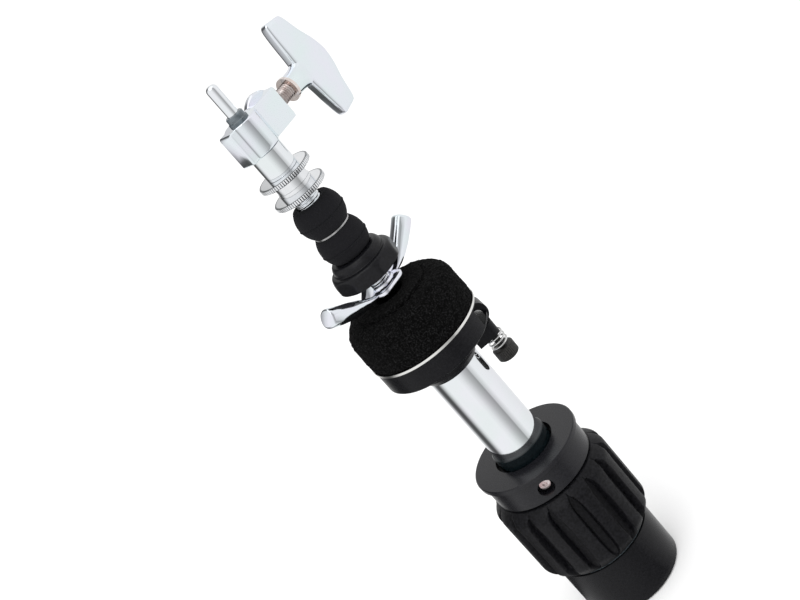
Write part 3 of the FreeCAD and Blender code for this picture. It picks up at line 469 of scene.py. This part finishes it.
def squircle(center, first, second, half_first, half_second, power, points=32):
    """A rounded oblong ring about a centre, in the plane of two directions."""
    ring = []
    for k in range(points):
        angle = 2 * math.pi * (k + 0.5) / points
        along = math.copysign(abs(math.cos(angle)) ** (2 / power), math.cos(angle)) * half_first
        across = math.copysign(abs(math.sin(angle)) ** (2 / power), math.sin(angle)) * half_second
        ring.append(center + first * along + second * across)
    return ring


def ruffle(item, layers):
    """Moves each point along its normal by seeded noise: (size in mm, depth in mm) layers."""
    normals = [vert.normal.copy() for vert in item.data.vertices]
    for vert, normal in zip(item.data.vertices, normals):
        push = 0.0
        for size, depth in layers:
            push += noise.noise(vert.co / (size * MM)) * depth
        vert.co += normal * push * MM


def screw_thread(radius, pitch, depth, bottom, top, ease=1.0):
    """A shape for lathe(): a helical thread on the outside between two heights."""
    def shape(angle, at, height):
        if at < radius - 0.05 or height < bottom or height > top:
            return at
        turn_share = (height / pitch - angle / (2 * math.pi)) % 1.0
        groove = 1 - abs(turn_share * 2 - 1)
        run_out = min(1.0, (height - bottom) / ease, (top - height) / ease)
        return at - depth * max(0.0, groove * 1.5 - 0.3) / 1.2 * run_out
    return shape


def finish_piece(item, body, node, *materials, sharp=32.0):
    """Shades a piece, gives it its finishes, and lets it ride in place of a CAD node."""
    smooth(item, sharp)
    for made in materials:
        item.data.materials.append(made)
    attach(item, body)
    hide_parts(node)


# ---- felts
PLATE_TOP = 187.0
FELT_TOP = 210.8
TOP_FELT_LOW = FELT_TOP - 0.3
TOP_FELT_HIGH = 213.15
FELT_BORE = 8.0
felt_outline = softened(
    [(FELT_BORE, PLATE_TOP), (30.6, PLATE_TOP), (31.0, 190.0), (30.8, 204.6), (25.6, FELT_TOP),
     (FELT_BORE, FELT_TOP)],
    [1.0, 1.2, 1.0, 3.2, 3.6, 2.0])
seat_pad = lathe("seat_felt_pad", spaced(felt_outline, 0.7), 300)
ruffle(seat_pad, ((14.0, 0.35), (3.2, 0.26), (1.1, 0.44)))
finish_piece(seat_pad, "seat", "seat_felt", SEAT_FELT, sharp=180)
top_outline = softened(
    [(FELT_BORE, TOP_FELT_LOW), (19.5, TOP_FELT_LOW), (19.5, TOP_FELT_HIGH), (FELT_BORE, TOP_FELT_HIGH)],
    [0.4, 0.4, 1.1, 1.1])
top_pad = lathe("seat_felt_top", spaced(top_outline, 0.7), 200)
ruffle(top_pad, ((9.0, 0.2), (2.5, 0.16), (1.0, 0.22)))
finish_piece(top_pad, "seat", "seat_top_felt", SEAT_FELT, sharp=180)


BALL_RADIUS = 12.7
BALL_BORE = 6.7
BALL_STEPS = 44


def felt_ball(name, node, bottom, height, seam):
    """A pressed felt ball with flat ends, a bore and a raised parting line below a shallow dip."""
    middle = bottom + height / 2
    top = bottom + height
    reach = math.asin(height / 2 / BALL_RADIUS)
    arc = []
    for step in range(BALL_STEPS + 1):
        angle = -reach + 2 * reach * step / BALL_STEPS
        arc.append((BALL_RADIUS * math.cos(angle), middle + BALL_RADIUS * math.sin(angle)))
    flat = arc[0][0]
    outline = [(BALL_BORE, bottom + 0.6), (BALL_BORE + 0.5, bottom), (flat - 1.0, bottom)] + arc[1:-1]
    outline += [(flat - 1.0, top), (BALL_BORE + 0.5, top), (BALL_BORE, top - 0.6)]

    def ridge(angle, at, height_there):
        if at < flat:
            return at
        lip = 0.36 * math.exp(-((height_there - seam) / 0.26) ** 2)
        return at + lip - 0.28 * math.exp(-((height_there - seam - 0.6) / 0.24) ** 2)
    ball = lathe(name, spaced(outline, 0.16), 160, ridge)
    ruffle(ball, ((7.0, 0.12), (1.3, 0.02)))
    finish_piece(ball, "clutch", node, BALL_FELT, sharp=180)


felt_ball("upper_felt_ball", "upper_ball_felt", 256.8, 16.4, 264.0)
felt_ball("lower_felt_ball", "lower_ball_felt", 240.8, 15.2, 247.0)

# ---- lobed washer: eight soft flats below a plain round step
WASHER_BOTTOM = 227.2
WASHER_TOP = 240.8
WASHER_BORE = 6.6
FLAT_REACH = 17.05
FLAT_BLEND = 110


def eight_flats(angle, at, height):
    """Trims the washer's outside to eight flats that blend into its round corners."""
    if at < 12.0:
        return at
    local = (angle + math.pi / 8) % (math.pi / 4) - math.pi / 8
    edge = FLAT_REACH / math.cos(local)
    return (at ** -FLAT_BLEND + edge ** -FLAT_BLEND) ** (-1 / FLAT_BLEND)


washer_outline = softened(
    [(WASHER_BORE, WASHER_BOTTOM), (17.4, WASHER_BOTTOM), (18.1, 228.2), (18.1, 233.2), (16.6, 235.8),
     (14.3, 236.0), (14.2, 238.2), (13.0, 240.4), (11.0, WASHER_TOP), (WASHER_BORE, WASHER_TOP)],
    [0.3, 0.4, 0.5, 1.6, 1.0, 0.5, 0.9, 0.8, 0.6, 0.3])
lobes = lathe("lobed_seat_washer", spaced(washer_outline, 0.8), 256, eight_flats)
finish_piece(lobes, "clutch", "lobed_washer", RUBBER, sharp=34)

# ---- threaded clutch tube and tilt screw
CLUTCH_BOTTOM = 216.7
TUBE_TOP = 305.15
TUBE_BORE = 3.1
BARREL_LOW = 292.2
BARREL_RADIUS = 8.4
THREAD_RADIUS = 6.4
tube_outline = softened(
    [(TUBE_BORE, CLUTCH_BOTTOM), (5.9, CLUTCH_BOTTOM), (THREAD_RADIUS, 217.3), (THREAD_RADIUS, BARREL_LOW),
     (BARREL_RADIUS, BARREL_LOW), (BARREL_RADIUS, TUBE_TOP), (TUBE_BORE, TUBE_TOP)],
    [0.1, 0.1, 0.2, 0, 0.3, 0.2, 0.1])
sleeve = lathe("clutch_threaded_tube", spaced(tube_outline, 0.18), 64,
               screw_thread(THREAD_RADIUS, 1.5, 0.55, 217.5, 291.0))
finish_piece(sleeve, "clutch", "clutch_tube", CHROME, sharp=50)
TILT = math.radians(-35.0)
TILT_RADIUS = 25.2
SCREW_RADIUS = 1.9
SCREW_BOTTOM = 147.5
SCREW_TOP = 181.0
SCREW_TIP = SCREW_TOP - 0.4
NEAR_AXIS = 0.05
tilt_spot = (TILT_RADIUS * math.cos(TILT), TILT_RADIUS * math.sin(TILT))
screw_outline = [(NEAR_AXIS, SCREW_BOTTOM), (SCREW_RADIUS, SCREW_BOTTOM), (SCREW_RADIUS, SCREW_TIP),
                 (SCREW_RADIUS - 0.4, SCREW_TOP), (NEAR_AXIS, SCREW_TOP)]
tilt_thread = lathe("tilt_threaded_screw", spaced(screw_outline, 0.12), 32,
                    screw_thread(SCREW_RADIUS, 0.7, 0.28, SCREW_BOTTOM + 0.5, SCREW_TIP), tilt_spot)
finish_piece(tilt_thread, "tilt_adjuster", "tilt_screw", DARK_STEEL, sharp=50)

# ---- clutch wing nut: a bent bar that widens to both ends, with ribs up to the hub
ALONG_Y = Vector((0, 1, 0))
ARM_POWER = 2.2
ARM_TIP = ((0.9, 0.97), (1.5, 0.88), (1.7, 0.76))
# one arm's sections: x, z, half height, half depth
ARM = ((8.0, 217.9, 1.2, 4.0), (11.0, 218.2, 1.7, 4.2), (14.5, 219.3, 2.7, 4.4),
       (19.0, 221.3, 3.8, 4.6), (24.0, 223.8, 4.4, 4.8), (30.0, 227.1, 4.75, 4.9),
       (34.0, 229.6, 4.9, 4.9))
LONG_ARM = 1.2


def wing_arm(side):
    """One arm: rounded oblong sections along its path, with a domed end."""
    rings = []
    path = [Vector((side * x, 0, z)) for x, z, *_ in ARM]
    if side < 0:
        path[-1] += (path[-1] - path[-2]).normalized() * LONG_ARM
    for k, (_, _, half_height, half_depth) in enumerate(ARM):
        run = (path[min(k + 1, len(path) - 1)] - path[max(k - 1, 0)]).normalized()
        rings.append(squircle(path[k], ALONG_Y, run.cross(ALONG_Y), half_depth, half_height, ARM_POWER))
    run = (path[-1] - path[-2]).normalized()
    for reach, share in ARM_TIP:
        rings.append(squircle(path[-1] + run * reach, ALONG_Y, run.cross(ALONG_Y),
                              half_depth * share, half_height * share, ARM_POWER))
    return loft(rings)


RIB_CORNERS = ((6.2, 218.6), (16.0, 219.8), (7.6, 226.2), (6.6, 226.4))
RIB_MIDDLE = Vector((9.0, 0, 221.5))
RIB_LAYERS = ((-1.9, 0.86), (-1.6, 1.0), (1.6, 1.0), (1.9, 0.86))


def rib(side):
    """A thin upright web between the hub and the root of an arm."""
    rings = []
    for depth, share in RIB_LAYERS:
        ring = []
        for x, z in RIB_CORNERS:
            spot = RIB_MIDDLE + (Vector((x, 0, z)) - RIB_MIDDLE) * share
            ring.append(Vector((side * spot.x, depth, spot.z)))
        rings.append(ring)
    return loft(rings)


HUB_RADIUS = 7.6
FLANGE_SHARE_X = 0.84
FLANGE_SHARE_Y = 0.88


def square_flange(angle, at, height):
    """Turns the round flange into a rounded square; the hub inside it stays round."""
    if at < HUB_RADIUS + 0.1:
        return at
    across_x = abs(math.cos(angle) / FLANGE_SHARE_X)
    across_y = abs(math.sin(angle) / FLANGE_SHARE_Y)
    return at / (across_x ** 4 + across_y ** 4) ** 0.25


NUT_BORE = 6.45
NUT_TOP = 220.7
nut_outline = softened(
    [(NUT_BORE, CLUTCH_BOTTOM), (11.4, CLUTCH_BOTTOM), (11.4, 219.0), (HUB_RADIUS, 219.2),
     (HUB_RADIUS - 0.2, NUT_TOP), (NUT_BORE, NUT_TOP)],
    [0.2, 0.5, 0.6, 0.5, 0.3, 0.2])
wing_nut = several("clutch_wing_nut_cast", [wing_arm(1), wing_arm(-1), rib(1), rib(-1),
                                            turned_skin(nut_outline, 144, square_flange)])
finish_piece(wing_nut, "wing_nut", "clutch_wing_nut", CHROME_CAST, sharp=38)

# ---- clutch wing bolt: threaded shank, round stem and a flat T-shaped wing
BOLT_HEIGHT = 314.9
WING_TURN = math.radians(-5.0)
WING_REACH = 28
WING_HALF = 3.45
TIP_START = 24.5
# upper half of the wing: height from the stem, inner x, outer x
WING_ROWS = ((0.0, 43.4, 63.9), (4.0, 43.5, 63.4), (7.5, 43.8, 62.6), (11.0, 44.2, 61.4),
             (15.0, 44.5, 59.9), (19.0, 44.9, 58.9), (22.5, 45.3, 58.1), (25.0, 45.7, 57.3),
             (26.4, 46.0, 56.5), (26.9, 46.2, 55.2), (27.3, 46.5, 52.6), (27.7, 46.9, 50.0),
             (28.0, 47.4, 48.6))
ALONG_X = Vector((1, 0, 0))
ALONG_Z = Vector((0, 0, 1))


def wing_skin():
    """The wing as rounded oblong sections stacked from its lower tip to its upper tip."""
    rings = []
    rows = [(-z, low, high) for z, low, high in reversed(WING_ROWS)] + list(WING_ROWS[1:])
    for z, low, high in rows:
        tip = max(0.0, (abs(z) - TIP_START) / 3.6)
        half = WING_HALF - 0.5 * (abs(z) / WING_REACH) ** 2 - 0.9 * tip ** 3
        middle = Vector(((low + high) / 2, 0, z))
        rings.append(squircle(middle, ALONG_X, ALONG_Y, (high - low) / 2, half, 6.5, 48))
    return loft(rings)


# the stem's sections: x, half depth, half height, squareness
STEM_ROWS = ((34.0, 5.3, 5.3, 2.0), (34.5, 5.8, 5.8, 2.0), (38.0, 5.75, 5.9, 2.0),
             (40.5, 5.4, 6.0, 2.1), (42.5, 4.8, 6.3, 2.3), (44.0, 4.2, 7.0, 2.6),
             (45.5, 3.7, 7.8, 3.0), (47.0, 3.3, 8.4, 3.4), (49.0, 2.9, 8.6, 4.0))


def stem_skin():
    """The stem: round at the washer, spreading and flattening into the wing."""
    rings = []
    for x, half_y, half_z, power in STEM_ROWS:
        rings.append(squircle(Vector((x, 0, 0)), ALONG_Y, ALONG_Z, half_y, half_z, power, 48))
    return loft(rings)


wing = several("wing_bolt_head", [wing_skin(), stem_skin()])
to_bolt = Matrix.Translation((0, 0, BOLT_HEIGHT * MM))
wing.data.transform(to_bolt @ Matrix.Rotation(WING_TURN, 4, "X"))
finish_piece(wing, "wing_bolt", "clutch_wing_bolt", CHROME_CAST, sharp=40)
SHANK_RADIUS = 4.0
SHANK_START = 6.5
SHANK_END = 35.0
shank_outline = [(NEAR_AXIS, SHANK_START), (SHANK_RADIUS - 0.4, SHANK_START),
                 (SHANK_RADIUS, SHANK_START + 0.5), (SHANK_RADIUS, SHANK_END), (NEAR_AXIS, SHANK_END)]
shank = lathe("wing_bolt_shank", spaced(shank_outline, 0.16), 48,
              screw_thread(SHANK_RADIUS, 1.25, 0.5, 7.2, 34.6))
shank.data.transform(to_bolt @ Matrix.Rotation(math.pi / 2, 4, "Y"))
finish_piece(shank, "wing_bolt", "clutch_wing_bolt", THREAD, sharp=50)

# ---- clutch body: a flat casting that swells smoothly round the rod, with a disc behind the bolt
BLOCK_LOW = 305.2
BLOCK_HIGH = 323.0
BLOCK_START = -12.5
BLOCK_END = 24.0
BLOCK_STATIONS = ([BLOCK_START, -12.2, -11.6] + [k * 0.5 for k in range(-21, 22)]
                  + [14.0, 18.0, 22.0, 23.3, 23.85, BLOCK_END])
BLOCK_HALF_DEPTH = 4.8
EDGE_SIZE = 0.9
EDGE_DEPTH = 0.8
SWELL_RADIUS = 8.9
SWELL_BLEND = 9


def block_skin():
    """Rounded oblong sections along the casting; a round swell for the rod blends into the flat."""
    rings = []
    half_height = (BLOCK_HIGH - BLOCK_LOW) / 2
    for x in BLOCK_STATIONS:
        swell = math.sqrt(max(0.0, SWELL_RADIUS ** 2 - x ** 2))
        half_depth = (BLOCK_HALF_DEPTH ** SWELL_BLEND + swell ** SWELL_BLEND) ** (1 / SWELL_BLEND)
        edge = EDGE_DEPTH * max(0.0, 1 - min(x - BLOCK_START, BLOCK_END - x) / EDGE_SIZE) ** 2
        rings.append(squircle(Vector((x, 0, BLOCK_LOW + half_height)), ALONG_Y, ALONG_Z,
                              half_depth - edge, half_height - edge, 16.0, 96))
    return loft(rings)


DISC_X = 17.3
# the disc's sections: y, radius
DISC_ROWS = ((2.6, 10.0), (2.9, 10.4), (3.4, 10.7), (5.6, 10.7), (6.6, 10.2), (7.2, 9.2), (7.5, 7.8))


def disc_skin():
    """The rear disc: a flat round pad with soft rims."""
    rings = []
    for y, radius in DISC_ROWS:
        rings.append(squircle(Vector((DISC_X, y, BOLT_HEIGHT)), ALONG_X, ALONG_Z, radius, radius, 2.0, 64))
    return loft(rings)


block = several("clutch_body_casting", [block_skin(), disc_skin()])
finish_piece(block, "clutch", "clutch_body", CHROME_CAST, sharp=30)

# ---- tension dial grip: wide fins between pointed scoops
FINS = 16
GRIP_LOW = 32.6
GRIP_HIGH = 83.0
SCOOP_LOW = 34.5
SCOOP_HIGH = 80.3
SCOOP_HALF = 2.7
SCOOP_POWER = 4.5
FIN_ROOT = 27.5
FIN_MIDDLE = 33.0
FIN_DEPTH = 4.0
FIN_CROWN = 0.5
RAMP_LOW = 9.0
RAMP_HIGH = 6.5
WALL_EASE = 0.9


def clamped(value):
    """The value, kept between nought and one."""
    return min(1.0, max(0.0, value))


def fins(angle, at, height):
    """Adds the fins to the outside of the grip; the scoops between them narrow to points."""
    if at < FIN_ROOT:
        return at
    half_pitch = math.pi / FINS
    across = abs((angle + half_pitch) % (2 * half_pitch) - half_pitch) * FIN_MIDDLE
    ramp_low = clamped((height - GRIP_LOW) / RAMP_LOW)
    ramp_high = clamped((GRIP_HIGH - height) / RAMP_HIGH)
    rise = math.sin(ramp_low * math.pi / 2) * math.sin(ramp_high * math.pi / 2)
    middle = (SCOOP_LOW + SCOOP_HIGH) / 2
    span = min(1.0, abs(height - middle) / ((SCOOP_HIGH - SCOOP_LOW) / 2))
    half_scoop = SCOOP_HALF * math.sqrt(1 - span ** SCOOP_POWER)
    half_width = half_pitch * FIN_MIDDLE
    blend = clamped((across - (half_width - half_scoop)) / WALL_EASE + 0.5)
    soft = blend * blend * (3 - 2 * blend)
    crown = FIN_CROWN * (across / half_width) ** 2
    return at + (FIN_DEPTH - crown) * rise * (1 - soft) * min(1.0, (at - FIN_ROOT) / 0.8)


GRIP_RADIUS = 30.0
GRIP_BORE = 24.05
GRIP_NECK_BORE = 18.15
BORE_STEP = 66.15
grip_outline = softened(
    [(GRIP_BORE, GRIP_LOW), (27.9, GRIP_LOW), (GRIP_RADIUS, 38.5), (GRIP_RADIUS, 77.2), (29.0, GRIP_HIGH),
     (GRIP_NECK_BORE, GRIP_HIGH), (GRIP_NECK_BORE, BORE_STEP), (GRIP_BORE, BORE_STEP)],
    [0.2, 0.6, 2.0, 2.0, 0.5, 0.2, 0, 0])
grip = lathe("tension_dial_moulding", spaced(grip_outline, 0.8), 576, fins)
finish_piece(grip, "dial", "tension_dial_grip", GRIP_BLACK, sharp=60)
